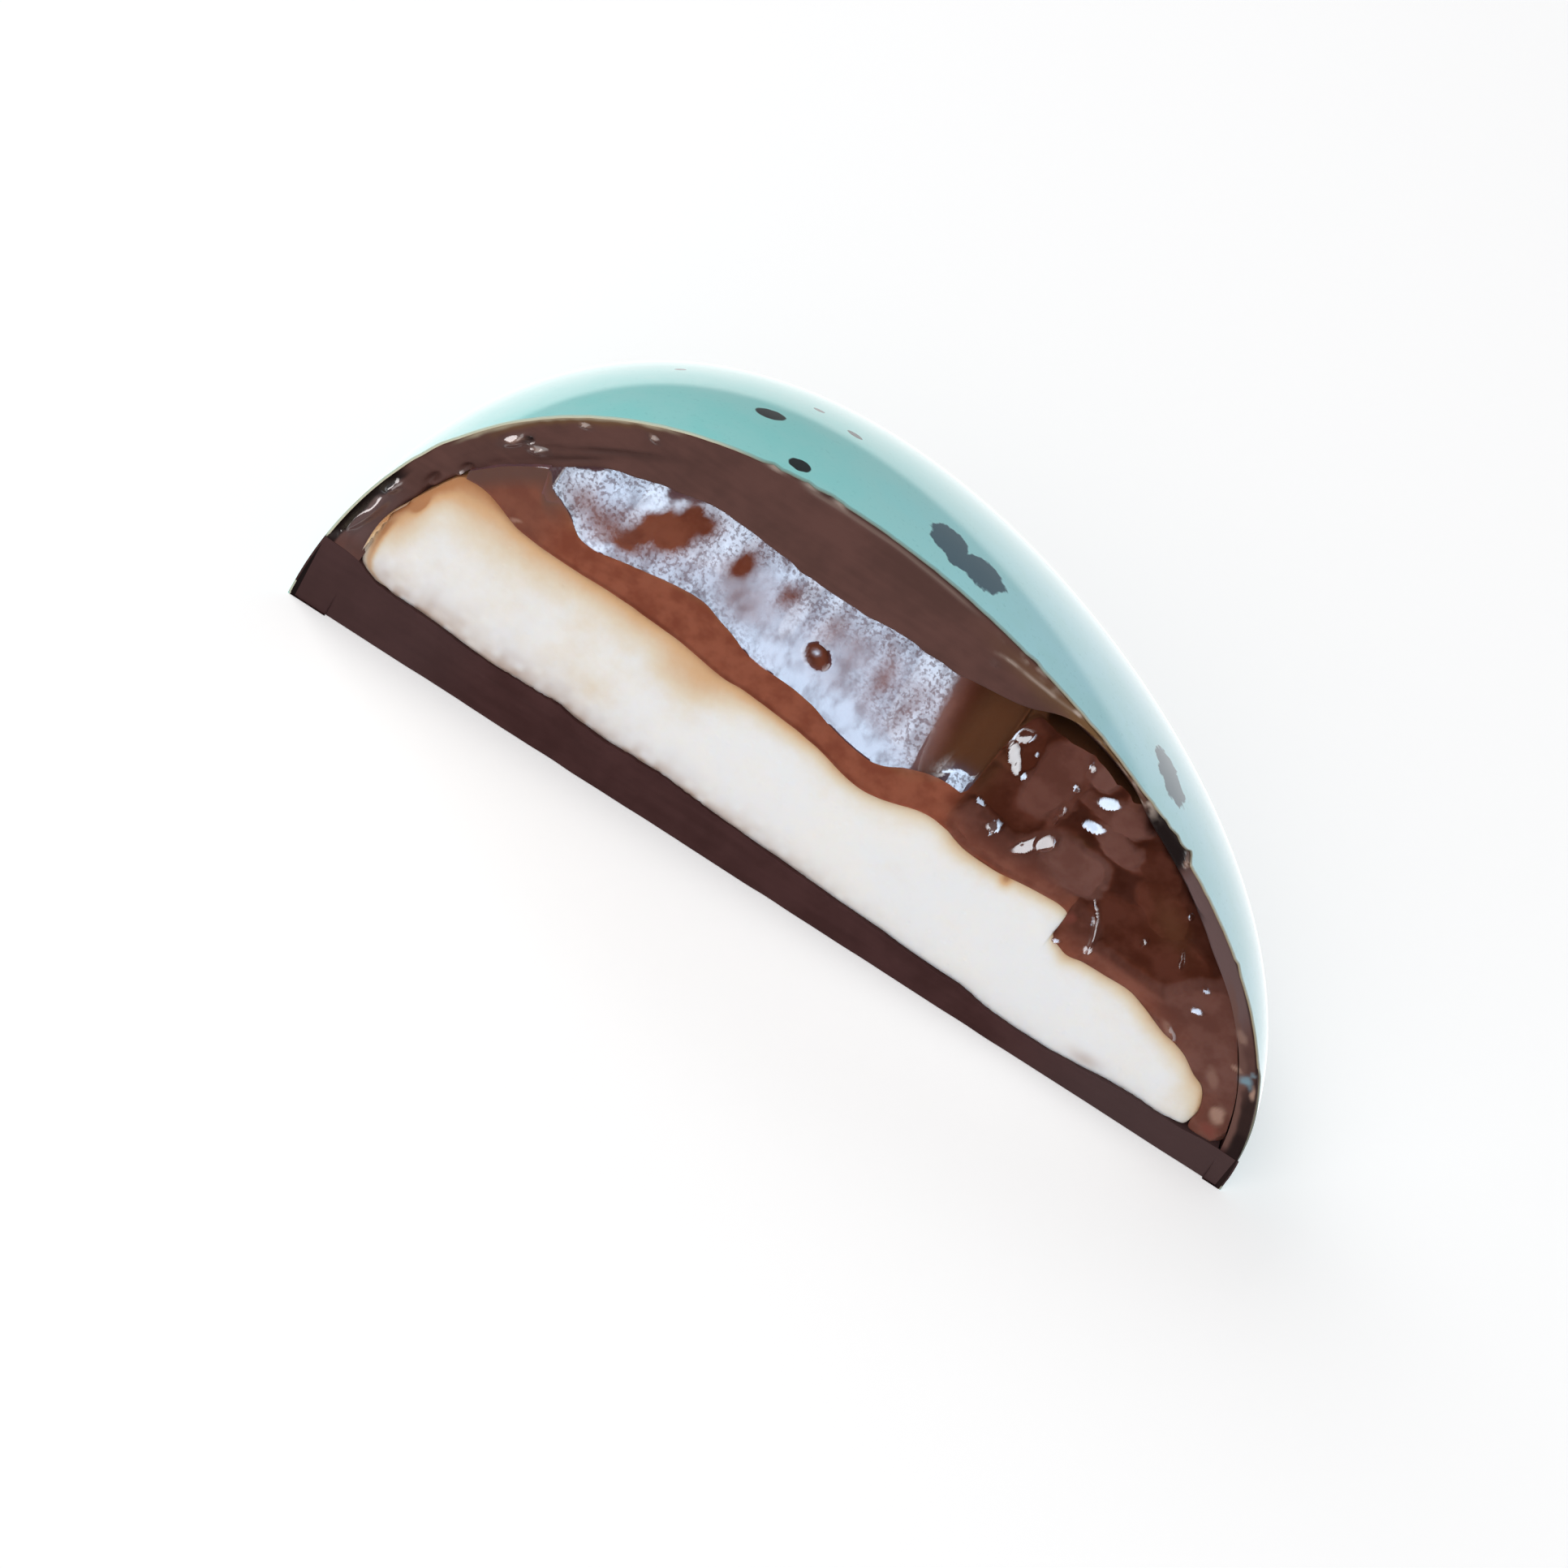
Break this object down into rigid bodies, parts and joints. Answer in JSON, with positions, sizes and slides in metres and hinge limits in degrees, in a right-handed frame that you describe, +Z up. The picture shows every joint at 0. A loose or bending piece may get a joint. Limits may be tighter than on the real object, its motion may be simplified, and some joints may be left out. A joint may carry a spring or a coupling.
{
  "type": "cut half of a filled chocolate egg",
  "caption": "Cut piece of a moulded filled chocolate egg, lying flat: speckled turquoise dome, chocolate wall and floor, soft caramel with an empty pocket over white marshmallow.",
  "frame": {"origin": "middle of the bounding box's underside, on the plane of the flat chocolate floor", "axes": "+X from the blunt end to the pointed end, -Y out of the cut face, +Z up through the crown"},
  "size_m": [0.05, 0.0207, 0.0207],
  "materials": {
    "coated_shell": "glossy speckled turquoise cocoa butter over dark chocolate",
    "dark_chocolate": "satin dark chocolate, cleanly cut",
    "marshmallow": "soft matt white, stained cream near the caramel",
    "caramel": "wet glossy translucent brown, torn and stringy"
  },
  "bodies": {
    "root": {"shell": "coated_shell", "floor": "dark_chocolate", "marshmallow": "marshmallow", "caramel": "caramel"}
  },
  "joints": []
}
